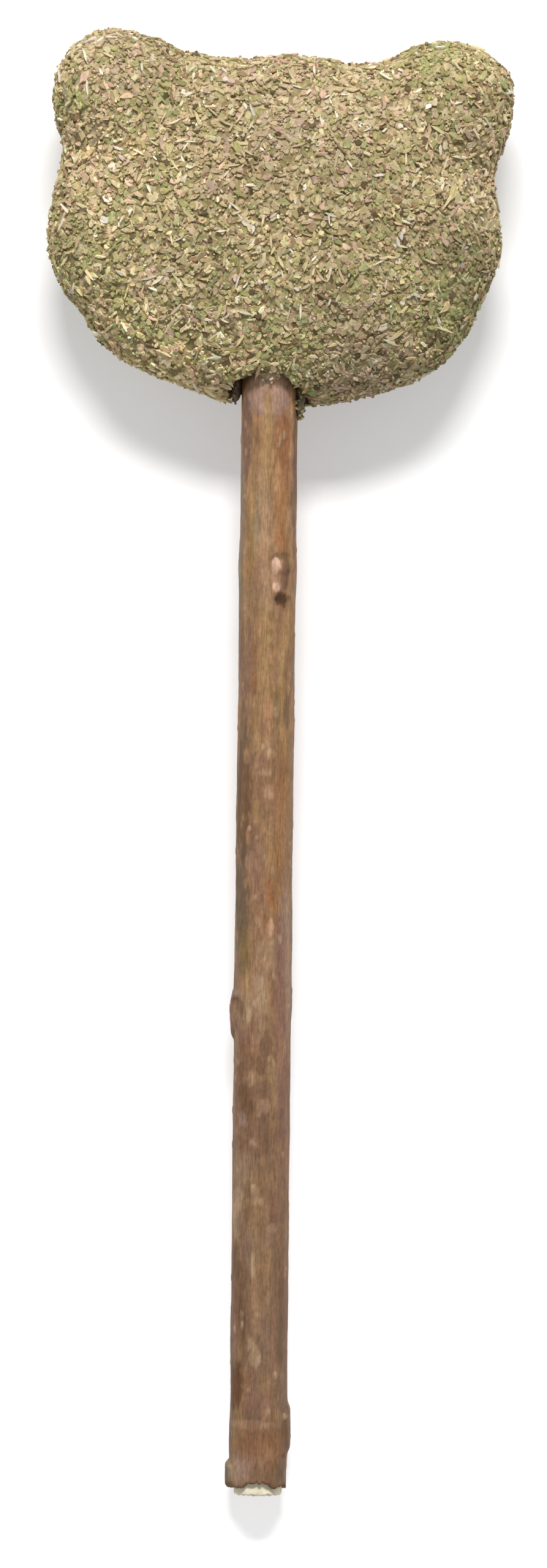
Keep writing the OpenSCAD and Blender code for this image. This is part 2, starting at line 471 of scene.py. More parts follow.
# Painted shade with soaked paste: the hole's wall is mixed towards dark brown
soak_and_shade_fac = node(tree, "ShaderNodeAttribute", attribute_name="soak_and_shade")["Fac"]
cake_colour = node(tree, "ShaderNodeMix", {0: soak_and_shade_fac, 6: speckled, 7: (*soak_and_shade_colour, 1)}, data_type="RGBA")
tree.links.new(cake_colour[2], shader.inputs["Base Color"])
roughened(tree, shader, speck, 0.1 * MM, 0.8)
herb_cake = placed(cake_mesh, cake_material, smooth=True)
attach(herb_cake, "root")
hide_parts("pressed_head")


# ---- Flakes ----
# The skin of the cake: flakes of dry leaf, fine crumbs and splinters of straw-coloured stem, lying
# flat as the mould pressed them, half sunk in the body and held by the dried plant juice.
cake_mesh.calc_loop_triangles()
triangles = np.empty(len(cake_mesh.loop_triangles) * 3, np.int32)
cake_mesh.loop_triangles.foreach_get("vertices", triangles)
triangles = triangles.reshape(-1, 3)
edge_a = skin[triangles[:, 1]] - skin[triangles[:, 0]]
edge_b = skin[triangles[:, 2]] - skin[triangles[:, 0]]
triangle_area = np.linalg.norm(np.cross(edge_a, edge_b), axis=1)


hole_clear = 1.05
hole_end_clear = 1 * MM


def scattered(count, rng):
    """Random places on the cake's skin outside its hole, with the smooth skin's normals."""
    chosen = rng.choice(len(triangles), 2 * count, p=triangle_area / triangle_area.sum())
    weight = rng.dirichlet((1, 1, 1), 2 * count)[:, :, None]
    places = (skin[triangles[chosen]] * weight).sum(1)
    normals = (skin_normal[triangles[chosen]] * weight).sum(1)
    normals /= np.linalg.norm(normals, axis=1, keepdims=True)
    from_axis, below_chin, _ = in_twig_frame(places)
    clear = (from_axis > hole_clear) | (below_chin < -socket_depth - hole_end_clear)
    return places[clear][:count], normals[clear][:count]


# Where there is more green leaf, more rosy leaf, and paler or darker leaf: middle across and up the
# face and reach, in mm, and by how much. The paler and darker places are partly the leaf's own tone
# and partly painted light and shade: lighter at the left cheek, the lower left of the chin and the
# bottom, darker at the right cheek and over the top.
green_places = [(-21, -4, 4.5, 0.9), (20, -8, 5.5, 1.2), (19, 19, 4, 0.4), (-23, 13, 3, 0.8),
                (13, 8, 5, 0.3), (-13, 14, 3, 0.6), (-15, -11, 5, 0.4), (1, -14, 6, 0.5), (-6, -9, 6, 0.3),
                (12, -3, 6, 0.2), (-6, 1, 6, 0.2), (15, 20, 3.5, 0.8)]
rosy_places = [(-18, 17, 4, 0.7), (0, 14, 8, 0.8), (-7, 7, 3.5, 0.7), (22, 7, 4, 0.7), (-11, -10, 5, 0.5),
               (10, -15.5, 5, 0.9), (15, 2, 4, 0.5), (-20, 6, 4, 0.6), (13, 14, 5, 0.4)]
tone_and_light_places = [(2, 7, 7, -0.17), (20.5, -1, 4, -0.36), (8, -9, 5, -0.18), (10, -14, 4, -0.2),
               (-16, 19, 5, -0.24), (-19, 8, 6, 0.2), (-19, -3, 5, 0.12), (-13, -14, 5, 0.26),
               (-18, -9, 4, 0.12), (1, 0, 4.5, 0.14), (21, 7, 3.5, 0.12), (4, 14, 3, 0.1),
               (-8, -8, 4, -0.06), (6, -8, 3, -0.08), (0, 16, 13, -0.12), (-6, -19, 10, 0.28)]
drift_size = 9 * MM
lightness_spread = 0.13
tint_spread = 0.035


def amount_at(face_places, spots):
    """How much of one kind there is at places on the face, from its spots."""
    total = np.zeros(len(face_places))
    for x, y, reach, strength in spots:
        off = (face_places[:, 0] - x * MM) ** 2 + (face_places[:, 1] - y * MM) ** 2
        total += strength * np.exp(-off / (reach * MM) ** 2)
    return total


def herb_colours(places, rng, kinds):
    """A colour for each flake, from kinds of (colour, share, and how strongly green places, rosy
    places and slow drifts over the cake draw it)."""
    on_face = moved(places, face_frame.inverted())
    greens = amount_at(on_face, green_places)
    roses = amount_at(on_face, rosy_places)
    drift = noise_at(places, drift_size)
    odds = np.stack([share * np.exp(pull_green * greens + pull_rosy * roses + pull_drift * drift)
                     for _, share, pull_green, pull_rosy, pull_drift in kinds], 1)
    odds /= odds.sum(1, keepdims=True)
    kind = (odds.cumsum(1) < rng.random((len(places), 1))).sum(1).clip(0, len(kinds) - 1)
    colours = np.array([colour for colour, *_ in kinds])[kind]
    # Paler and darker leaf, with painted light and shade
    tone_and_light = amount_at(on_face, tone_and_light_places)[:, None]
    lightness = np.exp(rng.normal(0, lightness_spread, (len(places), 1)) + tone_and_light)
    tint = np.exp(rng.normal(0, tint_spread, (len(places), 3)))
    return colours * lightness * tint


def painted(mesh, name, colours):
    """Gives each point of a mesh its own colour."""
    layer = mesh.color_attributes.new(name, "FLOAT_COLOR", "POINT")
    full = np.ones((len(mesh.vertices), 4), np.float32)
    full[:, :3] = colours.reshape(-1, 3)
    layer.data.foreach_set("color", full.ravel())


def mapped(mesh, name, corners):
    """Gives each corner of a mesh's faces its place on a map."""
    mesh.uv_layers.new(name=name).uv.foreach_set("vector", corners.astype(np.float32).ravel())


corner_wander = 0.28
corner_reach = (0.72, 1.12)
off_floor = 0.01 * MM
# How dark the painted shade is at each flake's sunk side
painted_sunk_shade = 0.75
grain_apart = 50 * MM
map_fill = 0.75


def flake_piece(name, places, normals, colours, rng, material, sides, rings, length, width, thickness,
                tilt, lift, curl):
    """One mesh of many flakes. Rings are (share of the outline, height in thicknesses) from the sunk
    side to the open side, and length, width and thickness are each a least and a greatest size."""
    count = len(places)
    out = normals + rng.normal(0, tilt, (count, 3))
    out /= np.linalg.norm(out, axis=1, keepdims=True)
    along = np.cross(out, rng.normal(0, 1, (count, 3)))
    along /= np.linalg.norm(along, axis=1, keepdims=True)
    across = np.cross(out, along)
    each = (count, 1, 1)
    long = length[0] * (length[1] / length[0]) ** (rng.random(each) ** 1.5)
    wide = np.minimum(rng.uniform(*width, each), long)
    thick = rng.uniform(*thickness, each)
    wander = rng.uniform(-corner_wander, corner_wander, (count, sides))
    angle = (np.arange(sides) + wander) * 2 * math.pi / sides
    reach = rng.uniform(*corner_reach, (count, sides)) / 2
    u = np.stack([scale * reach * np.cos(angle) for scale, _ in rings], 1)
    v = np.stack([scale * reach * np.sin(angle) for scale, _ in rings], 1)
    rise = np.array([height for _, height in rings])[None, :, None] * thick
    bend = rng.normal(0, curl, each) * long
    fold = rng.normal(0, curl, each) * wide
    w = rise + bend * (2 * u) ** 2 + fold * (2 * v) ** 2 + lift * thick
    u = u * long
    v = v * wide
    points = (places[:, None, None] + u[..., None] * along[:, None, None]
              + v[..., None] * across[:, None, None] + w[..., None] * out[:, None, None])
    points[..., 2] = np.maximum(points[..., 2], off_floor)
    per = len(rings) * sides
    start = (np.arange(count) * per)[:, None]
    walls = rings_closed(len(rings), sides)
    wall_faces = (start[:, :, None] + walls[None]).reshape(-1, 4)
    under = start + np.arange(sides)[::-1]
    over = start + (len(rings) - 1) * sides + np.arange(sides)
    mesh = mesh_of(name, points.reshape(-1, 3), wall_faces, under, over)
    # Painted shade: each flake is darker towards its sunk side, where it meets the body
    shade = np.linspace(painted_sunk_shade, 1.0, len(rings))[None, :, None, None]
    painted(mesh, "herb", colours[:, None, None] * shade * np.ones((1, 1, sides, 1)))
    corner = np.empty(len(mesh.loops), np.int32)
    mesh.loops.foreach_get("vertex_index", corner)
    grain = np.stack([u + rng.random(each) * grain_apart, v], -1).reshape(-1, 2) / MM
    mapped(mesh, "grain", grain[corner])
    cells = math.ceil(math.sqrt(count))
    cell = np.stack([np.arange(count) % cells, np.arange(count) // cells], 1)[:, None, None]
    spot = np.stack([u / long, v / wide], -1) * map_fill + 0.5
    mapped(mesh, "OFBake", ((cell + spot) / cells).reshape(-1, 2)[corner])
    mesh.uv_layers["OFBake"].active = True
    piece = placed(mesh, material)
    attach(piece, "root")


def flake_material(name, streak_along, streak_across, depth):
    """Dry leaf or stem in each flake's own colour, with fibres along it."""
    material, tree, shader = material_of(name, 0.9, 0.25)
    own = node(tree, "ShaderNodeAttribute", attribute_name="herb")["Color"]
    grain = node(tree, "ShaderNodeUVMap", uv_map="grain")[0]
    stretched = node(tree, "ShaderNodeMapping", {"Vector": grain, "Scale": (streak_along, streak_across, 1)})
    fibre = cloud(tree, stretched[0], 1.0, 3.0)
    shade = ramp(tree, fibre, (0.3, (0.72, 0.7, 0.66)), (0.55, white), (0.75, (1.14, 1.12, 1.1)))
    tree.links.new(multiplied(tree, own, shade), shader.inputs["Base Color"])
    roughened(tree, shader, fibre, depth, 0.7)
    return material


leaf_material = flake_material("dry leaf", 1.2, 4.0, 0.06 * MM)
stem_material = flake_material("split stem", 0.8, 8.0, 0.05 * MM)
leaf_kinds = [(tan, 0.34, 0, 0.2, 0.2), (straw, 0.16, -0.8, 0, 0.2), (rosy, 0.10, -1, 2.2, 0.3),
              (olive, 0.20, 1.5, -1, -0.6), (green, 0.05, 3.0, -1, -0.5), (brown, 0.10, 0.3, 0.3, -0.3),
              (cream, 0.02, 0, 0, 0), (dark, 0.03, 0.4, 0, -0.3)]
stem_kinds = [(straw, 0.5, 0, 0, 0), (cream, 0.25, 0, 0, 0), (tan, 0.2, 0, 0, 0), (brown, 0.05, 0, 0, 0)]
bevelled = [(0.8, -1.0), (1.0, 0.2), (0.84, 1.0)]
simple = [(0.9, -1.0), (0.85, 1.0)]
leaf_cut = dict(material=leaf_material, sides=6, rings=bevelled, length=(0.7 * MM, 2.0 * MM),
                width=(0.45 * MM, 1.0 * MM), thickness=(0.07 * MM, 0.16 * MM), tilt=0.16, lift=0.5, curl=0.06)
crumb_cut = dict(material=leaf_material, sides=5, rings=simple, length=(0.3 * MM, 0.8 * MM),
                 width=(0.25 * MM, 0.5 * MM), thickness=(0.08 * MM, 0.2 * MM), tilt=0.3, lift=0.9, curl=0.03)
stem_cut = dict(material=stem_material, sides=6, rings=bevelled, length=(0.9 * MM, 2.6 * MM),
                width=(0.25 * MM, 0.5 * MM), thickness=(0.1 * MM, 0.2 * MM), tilt=0.14, lift=1.0, curl=0.04)

rng = np.random.default_rng(11)
for name, count, kinds, cut in (("leaf_flakes_1", 5200, leaf_kinds, leaf_cut),
                                ("leaf_flakes_2", 5200, leaf_kinds, leaf_cut),
                                ("leaf_crumbs", 12000, leaf_kinds, crumb_cut),
                                ("stem_splinters", 1500, stem_kinds, stem_cut)):
    places, normals = scattered(count, rng)
    flake_piece(name, places, normals, herb_colours(places, rng, kinds), rng, **cut)


# ---- Starch paste ----
# Thick starch paste, spooned into the hole before the twig was pushed in. It dried hard and amber in
# a hollow ring round the twig, a little way inside the mouth.
neck_d = 6.1 * MM
insertion = 20 * MM
open_ring = 5 * MM
paste_overlap = 0.2 * MM
paste_gap = 0.05 * MM
paste_sides = 96
paste_climb = 0.9 * MM
paste_rings = 14

paste_in = neck_d / 2 - paste_overlap
paste_out = socket_d / 2 + paste_overlap
across_ring = np.linspace(0, 1, paste_rings)
paste_r = np.concatenate([[paste_in], paste_in + (paste_out - paste_in) * across_ring, [paste_out]])
paste_y = np.concatenate([[insertion + paste_gap],
                          open_ring + paste_climb * (0.3 - 4 * across_ring * (1 - across_ring)),
                          [socket_depth + paste_overlap]])
# Height and size of its coarse and its fine lumps
paste_lumps = [(0.5 * MM, 1.4 * MM), (0.2 * MM, 0.5 * MM)]


def round_axis(radius, turn, y):
    """Points round the Y axis, turned from the front towards +X."""
    return np.stack(np.broadcast_arrays(radius * np.sin(turn), y, radius * np.cos(turn)), -1)


def lumps_at(points, lumps):
    """Relief at rows of points, from the height and size of each kind of lump."""
    return sum(height * noise_at(points, size) for height, size in lumps)


paste_local = round_axis(paste_r[:, None], around(paste_sides), paste_y[:, None])
paste_face = paste_local[1:-1].reshape(-1, 3)
paste_face[:, 1] += lumps_at(paste_face, paste_lumps)


def paste_look(name, thin, thick, dry):
    """Dried paste, from its thin brown places over thicker ones to the driest."""
    material, tree, shader = material_of(name, 0.5, 0.4)
    place = node(tree, "ShaderNodeTexCoord")["Object"]
    lumps = cloud(tree, place, 1 / (0.8 * MM), 4.0)
    tree.links.new(ramp(tree, lumps, (0.3, thin), (0.6, thick), (0.75, dry)), shader.inputs["Base Color"])
    roughened(tree, shader, lumps, 0.15 * MM, 0.8)
    return material


paste_material = paste_look("dried paste", (0.20, 0.12, 0.05), (0.46, 0.33, 0.17), (0.62, 0.5, 0.3))
paste_mesh = capped("starch_paste", moved(paste_local.reshape(-1, 3), lying), len(paste_r), paste_sides)
starch_paste = placed(paste_mesh, paste_material, smooth=True)
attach(starch_paste, "root")
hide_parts("socket_paste")

# Beads of paste squeezed out round the twig, with herb dust and crumbs: a long one on its right and a
# small one on its left, both nearly black, as paste and as painted shade for the dark gaps beside the
# twig, and a pale one over it, under the lip, made pale as painted light in the lip's shade
bead_rings = 36
bead_sides = 28
bead_tilt = np.radians(np.linspace(2, 178, bead_rings))[:, None]
bead_turn = around(bead_sides)
bead_out = np.stack(np.broadcast_arrays(np.sin(bead_tilt) * np.cos(bead_turn), np.cos(bead_tilt),
                                        np.sin(bead_tilt) * np.sin(bead_turn)), -1).reshape(-1, 3)
bead_lumps = [(0.3 * MM, 1.1 * MM), (0.1 * MM, 0.4 * MM)]


def bead(name, middle, half, material, crumbs, dust_and_shade):
    """One bead, from its middle and half sizes in mm beside the chin, with so many crumbs stuck on
    it, whose colours are scaled by a share for dust and for painted shade."""
    points = MM * (np.array(middle) + np.array(half) * bead_out)
    points = moved(points + bead_out * lumps_at(points, bead_lumps)[:, None], lying)
    made = placed(capped(name, points, bead_rings, bead_sides), material, smooth=True)
    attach(made, "root")
    stuck = rng.choice(len(points), crumbs, replace=False)
    normals = moved(bead_out, lying.to_3x3().to_4x4())
    # Dust and painted shade: the crumbs' colours are darkened by this share
    dusty_and_shaded = dust_and_shade * herb_colours(points[stuck], rng, leaf_kinds)
    flake_piece(f"{name}_crumbs", points[stuck], normals[stuck], dusty_and_shaded, rng, **crumb_cut)


# Right and left beads: nearly black, paste and painted shade; front bead: pale, painted light
bead("right_bead", (3.28, 0.55, 0.5), (0.5, 2.1, 0.95),
     paste_look("dusty shaded paste", (0.06, 0.042, 0.018), (0.12, 0.092, 0.042), (0.2, 0.16, 0.08)), 70, 0.45)
bead("left_bead", (-3.7, 1.9, 0.2), (0.6, 1.5, 0.9),
     paste_look("dark paste", (0.03, 0.017, 0.008), (0.07, 0.035, 0.014), (0.12, 0.07, 0.03)), 16, 0.3)
bead("front_bead", (0.1, 4.2, 3.35), (1.6, 1.5, 0.65),
     paste_look("pale paste", (0.30, 0.19, 0.11), (0.44, 0.31, 0.20), (0.55, 0.42, 0.28)), 36, 0.9)


# ---- Bark ----
# The thin bark of a natural vine twig, cut to length with its knots left on: long flat fibres, small
# pale breathing pores, a bud cushion at each knot, and a broken edge at the lower cut.
handle_length = 118.2 * MM
handle_d = 6.2 * MM
bark_t = 0.5 * MM
first_knot = 17.5 * MM
knot_spacing = 47.5 * MM
knot_length = 9 * MM
knot_swell = 0.1 * MM
bud_d = 4 * MM
bud_rise = 0.4 * MM
bud_start = math.radians(35)
bud_turn = math.radians(-144)
bow_height = -0.05 * MM
knots = [first_knot + k * knot_spacing for k in range(3)]


def smooth_r(below):
    """The radius over the bark, knots included, at distances below the chin."""
    radius = (neck_d + np.clip((below - first_knot) / knot_spacing, 0, 1) * (handle_d - neck_d)) / 2
    for knot in knots:
        near = np.clip((below - knot) / knot_length, -0.5, 0.5)
        radius = radius + knot_swell * (1 + np.cos(2 * math.pi * near)) / 2
    return radius


def on_twig(radius, turn, below):
    """Points at a distance from the twig's middle, a turn from its front towards +X, and a distance
    below the chin. The twig bows a little to the left half-way down."""
    local = round_axis(radius, turn, -below)
    local[..., 0] += bow_height * np.sin(np.clip(below / handle_length, 0, 1) * math.pi) ** 2
    return moved(local.reshape(-1, 3), lying)


bark_sides = 144
ring_step = 0.25 * MM
inner_step = 3 * MM
patch_sharpness = 7
steps_end = 40
turns = around(bark_sides)
down = np.arange(handle_length, -insertion - 0.01 * MM, -ring_step)[:, None]
smooth = smooth_r(down)
wrapped = round_axis(smooth, turns, down).reshape(-1, 3)


def streaks(width, stretch, kind, octaves=2):
    """Noise of about -1 to 1 over the bark, in streaks that are so many times as long as wide."""
    fibres = wrapped * (1, 1 / stretch, 1) + (0, kind * 0.1, 0)
    return noise_at(fibres, width, octaves).reshape(len(down), bark_sides)


def soft_step(value):
    """1 well below 0, and 0 well above it."""
    return 1 / (1 + np.exp(np.clip(value, -steps_end, steps_end)))


def patch(below, degrees, half_length, half_width, edge):
    """1 inside an oval on the bark, in mm along it and degrees round it, with a worn edge."""
    off = ((down - below * MM) / (half_length * MM)) ** 2 + (degrees_off(turns, degrees) / half_width) ** 2
    return soft_step(patch_sharpness * (off + edge - 1))


def laid_over(under, over, share):
    """Colours with a share of others laid over them."""
    return under * (1 - share) + np.array(over) * share


upper_bark = (0.378, 0.212, 0.099)
lower_bark = (0.235, 0.133, 0.072)
scorch = (0.115, 0.044, 0.010)
umber = (0.16, 0.080, 0.034)
walnut = (0.19, 0.095, 0.052)
smoke = (0.16, 0.10, 0.055)
mauve = (0.20, 0.105, 0.078)
rose = (0.25, 0.125, 0.086)
ash = (0.30, 0.19, 0.15)
rust = (0.30, 0.125, 0.050)
amber = (0.37, 0.175, 0.070)
honey = (0.40, 0.24, 0.10)
moss = (0.23, 0.145, 0.052)
lichen = (0.27, 0.22, 0.15)
fawn = (0.46, 0.31, 0.185)
pink = (0.55, 0.32, 0.21)
blush = (0.76, 0.48, 0.34)
# Nearly black paste on the twig in the mouth, which is also painted shade
paste_and_shade_colour = (0.12, 0.06, 0.018)

# Marks on the bark, each over the ones before it: mm below the chin, degrees from the front, half
# length in mm, half width in degrees, colour, strength, and how far it rises in mm if it does
bark_marks = [
    # The blush marks from 2.9 mm above the chin to 0.4 mm below it are painted light: they lighten the twig
    # where the lip shades it.
    (-0.6, -4, 2, 55, ash, 0.8), (-2.9, 0, 1.1, 40, blush, 0.6),
    (-1, -4, 1.7, 38, blush, 0.2), (-1.2, -4, 0.4, 11, blush, 0.25), (0.4, -5, 0.6, 12, blush, 0.4),
    (7, -27, 6, 10, smoke, 0.18), (4, -56, 4.2, 16, mauve, 0.85), (5, -4, 5.5, 12, honey, 0.8),
    (12, -12, 6, 12, fawn, 0.35), (13, -73, 9, 14, lichen, 0.6), (4.2, 31, 3.2, 19, rust, 0.8),
    (5, 70, 5, 14, walnut, 0.6), (11, 27, 4.6, 16, amber, 0.75), (14.5, 30, 1.5, 18, rust, 0.5),
    (9, 68, 10, 12, mauve, 0.5), (13.5, -25, 3, 9, lichen, 0.5), (16.5, 29, 0.45, 20, umber, 0.8, -0.03),
    (17.5, 17, 0.8, 8, blush, 0.95, 0.07), (19, 14, 0.9, 7, pink, 0.5), (19.8, 17, 0.5, 8, blush, 0.8, 0.06),
    (18.5, 37, 1.6, 10, walnut, 0.85), (21.2, 32, 0.75, 15, scorch, 0.95, -0.1),
    (22.5, -26, 0.8, 6, walnut, 0.7), (20, -5, 3, 9, fawn, 0.35), (23, 10, 0.9, 5, moss, 0.9),
    (28.5, -46, 5.5, 21, mauve, 0.5), (27.3, -25, 1.1, 5, rust, 0.8), (30, -25, 1.2, 5, rust, 0.8),
    (28, -8, 7, 11, honey, 0.6), (24.8, 9, 0.6, 4, moss, 0.9), (26.2, 9, 0.7, 4, moss, 0.9),
    (28.6, 9, 0.6, 4, moss, 0.9), (31.2, 10, 1.2, 5, moss, 0.9), (27, 28, 4, 13, honey, 0.3),
    (28, 58, 4, 16, walnut, 0.5), (13.2, 2, 2.6, 11, fawn, 0.3), (13, -50, 3, 12, smoke, 0.2),
    (23, -26, 2.4, 10, honey, 0.25), (36.6, -58, 3, 18, smoke, 0.3), (41.7, -8, 3.2, 62, walnut, 0.42),
    (32.8, 23, 2.2, 7, moss, 0.7), (33.3, 21, 0.6, 5, fawn, 0.6), (33, 47, 2, 8, smoke, 0.6),
    (36.6, -45, 1.3, 12, smoke, 0.85), (37.8, 7, 0.8, 5, fawn, 0.8), (38.6, -26, 0.8, 24, rose, 0.6),
    (43.4, -57, 6, 26, umber, 0.95), (39.9, 0, 0.4, 13, fawn, 0.5), (42.2, 8, 0.8, 11, pink, 0.5),
    (44.3, -16, 1.4, 9, honey, 0.5), (47, -19, 1.8, 11, walnut, 0.6), (43.5, 37, 6, 18, amber, 0.55),
    (53.5, -57, 5.2, 25, smoke, 1), (50, -30, 1.6, 7, ash, 0.35), (52.5, 27, 5, 26, amber, 0.45),
    (53.2, 13, 2, 7, rust, 0.85), (56.8, 15, 1.1, 5, pink, 0.8), (56, 3, 0.9, 5, rust, 0.6),
    (59.6, -41, 2.6, 15, moss, 0.75), (57.5, 50, 5.5, 20, ash, 0.6), (65, 52, 3.5, 20, ash, 0.5),
    (60.3, 6, 2.4, 20, fawn, 0.3), (62.8, -33, 1.5, 5, honey, 0.9), (63.5, -22, 1.3, 5, moss, 0.7),
    (63.8, -3, 1.4, 8, fawn, 0.65), (62, 13, 0.8, 5, walnut, 0.6), (65.6, 41, 9, 14, rose, 0.85),
    (60, 60, 8.5, 17, fawn, 0.25), (64.2, -78, 0.4, 26, ash, 0.7, 0.12),
    (64.9, -73, 0.4, 26, scorch, 0.8, -0.06), (64.8, -12, 2.6, 24, fawn, 0.4),
    (69.5, -30, 2.4, 24, amber, 0.3), (67.5, -52, 4.6, 22, fawn, 0.25), (69.3, -4, 2, 14, fawn, 0.22),
    (66.8, -88, 2.2, 24, mauve, 0.6, 0.35), (66.6, -29, 1, 6, fawn, 0.75), (65.6, -50, 0.8, 10, umber, 0.6),
    (68.3, -33, 1.2, 26, rose, 0.5), (70.2, -38, 0.9, 12, rust, 0.6), (69.6, -20, 1.1, 4, pink, 0.4),
    (71.2, -24, 2.2, 24, walnut, 0.5), (69.8, 10, 1.4, 11, walnut, 0.65), (73.3, -22, 0.9, 9, fawn, 0.7),
    (74.3, -44, 2.4, 30, walnut, 0.3), (74.3, 57, 2.4, 19, walnut, 0.4), (74, 25, 2, 12, fawn, 0.15),
    (79.2, -12, 2.5, 64, walnut, 0.4), (75.3, -41, 1.4, 14, umber, 0.85), (74.8, 9, 1.2, 10, walnut, 0.5),
    (76.3, 5, 0.7, 13, pink, 0.35), (76.8, -28, 1.2, 13, umber, 0.75), (71.9, -4, 1, 11, umber, 0.6),
    (72.8, -50, 1.1, 13, umber, 0.6), (77.9, -42, 0.9, 11, ash, 0.7), (80.8, -44, 1.4, 9, umber, 0.9),
    (80.5, 0, 1.6, 12, walnut, 0.5), (78, 53, 10, 14, rose, 0.55), (83.5, -50, 2.6, 22, fawn, 0.35),
    (88.3, -60, 2.6, 22, fawn, 0.7), (86, -11, 1.3, 8, fawn, 0.4), (88.4, -28, 0.9, 6, walnut, 0.6),
    (89.5, -42, 2, 12, walnut, 0.5), (88, 28, 1, 10, walnut, 0.5), (89.7, 25, 0.5, 12, pink, 0.35),
    (93.7, -15, 1.4, 5, fawn, 0.75), (95.8, -53, 4.2, 15, umber, 0.85), (97, 51, 8, 8, umber, 0.65),
    (100, -42, 2.2, 13, umber, 0.6), (102.6, 50, 3, 9, smoke, 0.65), (102.3, -17, 0.8, 9, fawn, 0.55),
    (103.8, -9, 1.2, 10, fawn, 0.45), (107, -54, 2.4, 24, scorch, 0.95), (107, -24, 2.2, 11, amber, 0.25),
    (111.8, 15, 2.4, 60, umber, 0.4), (111.6, 33, 2.3, 34, umber, 0.45), (108.4, -9, 1.3, 12, rose, 0.6),
    (108.7, 13, 1.2, 12, rose, 0.6), (107.8, 46, 2.2, 10, smoke, 0.5), (111.1, -9, 0.5, 60, pink, 0.3),
    (110.2, 62, 0.3, 8, fawn, 0.8, 0.05), (111.8, 66, 1, 14, umber, 0.9, -0.05),
    (111.5, 88, 2.5, 26, smoke, 0.5, 0.3), (114.2, 0, 2.4, 60, rust, 0.45),
    (114.6, 62, 0.3, 9, scorch, 0.9, -0.06), (114, -33, 1.6, 14, umber, 0.3), (116, -38, 1.9, 30, ash, 0.65),
    (116.2, -54, 1.6, 15, fawn, 0.4), (116.3, 5, 1.6, 18, fawn, 0.25), (116.6, 20, 1.4, 34, umber, 0.6),
    (116.2, 54, 1.6, 18, smoke, 0.5), (116.7, -86, 1.5, 22, lichen, 0.85, 0.5),
    (117, -76, 1.1, 8, scorch, 0.75), (118.1, 0, 0.3, 400, umber, 0.75),
]

fibre = streaks(0.55 * MM, 12, 1)
wrinkle = streaks(0.3 * MM, 3, 2)
swell = streaks(2.2 * MM, 3, 3)
blotch = streaks(0.9 * MM, 1.8, 4, 3)
band = streaks(1.1 * MM, 11, 5)
tint = streaks(1.4 * MM, 9, 6)
flecks = streaks(0.4 * MM, 3, 7, 3)
edge = 0.7 * blotch + 0.4 * band + 0.3 * fibre + 0.7 * flecks
relief = 0.05 * MM * fibre + 0.02 * MM * wrinkle + 0.06 * MM * swell + 0.02 * MM * blotch
aged_from = 85 * MM
aged = np.clip(down / aged_from, 0, 1)[..., None]
colours = laid_over(np.array(upper_bark), lower_bark, aged)
colours = colours * np.exp(0.27 * band + 0.22 * blotch + 0.12 * fibre)[..., None]
mottling = np.exp(0.15 * band + 0.22 * blotch + 0.1 * fibre)[..., None]
# Drifts towards red, towards honey and towards grey, as the bark's cork and its bloom are thicker
for drift, pull in (((-0.05, -0.22, -0.12), np.clip(tint, 0, 1)), ((0.06, 0.06, -0.22), np.clip(-tint, 0, 1)),
                    ((-0.05, 0.03, 0.22), np.clip(swell, 0, 1))):
    colours = colours * np.exp(np.array(drift) * pull[..., None])
for below, degrees, half_length, half_width, colour, strength, *rises in bark_marks:
    spot = patch(below, degrees, half_length, half_width, edge)
    colours = laid_over(colours, np.array(colour) * mottling, (strength * spot)[..., None])
    for rise in rises:
        relief = relief + rise * MM * patch(below, degrees, half_length, half_width, 0)
# Paste that crept down the twig dried nearly black, to an edge that falls away from the front. Its
# darkness in the mouth is partly painted shade for the hole's dark gap round the twig.
paste_shade_front = -3.5 * MM
paste_shade_fall = 3.0 * MM
paste_shade_fade = 0.12 * MM
paste_shade_cover = 0.92
paste_shade_edge = paste_shade_front + paste_shade_fall * (1 - np.maximum(np.cos(turns), 0)) + 0.4 * MM * edge
paste_and_shade = soft_step((down - paste_shade_edge) / paste_shade_fade)[..., None] * paste_shade_cover
colours = laid_over(colours, paste_and_shade_colour, paste_and_shade)

pore_count = 150
pore_rise = 0.06 * MM
pore_rng = np.random.default_rng(5)
for pore in range(pore_count):
    below, degrees = pore_rng.uniform(2, 117), pore_rng.uniform(-180, 180)
    length, width, strength = pore_rng.uniform(0.25, 0.55), pore_rng.uniform(3, 6), pore_rng.uniform(0.3, 0.8)
    spot = patch(below, degrees, length, width, 0.8 * flecks)
    relief = relief + pore_rise * spot
    colours = laid_over(colours, fawn, (strength * spot)[..., None])

# Each bud cushion is a ball in the bark's side, with the scar of the fallen leaf below it: mm below,
# half length in mm and half width in degrees, depth, and how much darker
scar_below = 3.6
scar_size = (0.45, 20)
scar_depth = 0.07 * MM
scar_shade = 0.5
for k, knot in enumerate(knots):
    turned = turns - bud_start - k * bud_turn
    reach = smooth_r(knot) - knot_swell + bud_rise - bud_d / 2
    inside = (bud_d / 2) ** 2 - (down - knot) ** 2 - (reach * np.sin(turned)) ** 2
    ball = reach * np.cos(turned) + np.sqrt(np.maximum(inside, 0))
    cushion = np.where((inside > 0) & (np.cos(turned) > 0), ball - smooth, -1)
    relief = np.maximum(relief, cushion + 0.4 * relief)
    degrees = math.degrees(bud_start + k * bud_turn)
    scar = patch(knot / MM + scar_below, degrees, *scar_size, 0.2 * edge)
    relief = relief - scar_depth * scar
    colours = colours * (1 - scar_shade * scar[..., None])

# The lower edge is ragged with torn fibres all round. It is chipped along its front and on the right:
# degrees, half width in degrees, and depth in mm
torn_reach = 4 * MM
torn_waves = 9
torn_least = 0.1 * MM
torn_more = 0.22 * MM
chips = [(-3, 32, 0.6), (66, 14, 0.35)]
ragged = torn_least + torn_more * noise_at(round_axis(torn_waves, turns, 0.0), 1.0)
for towards, half_width, depth in chips:
    ragged += depth * MM * np.exp(-(degrees_off(turns, towards) / half_width) ** 4)


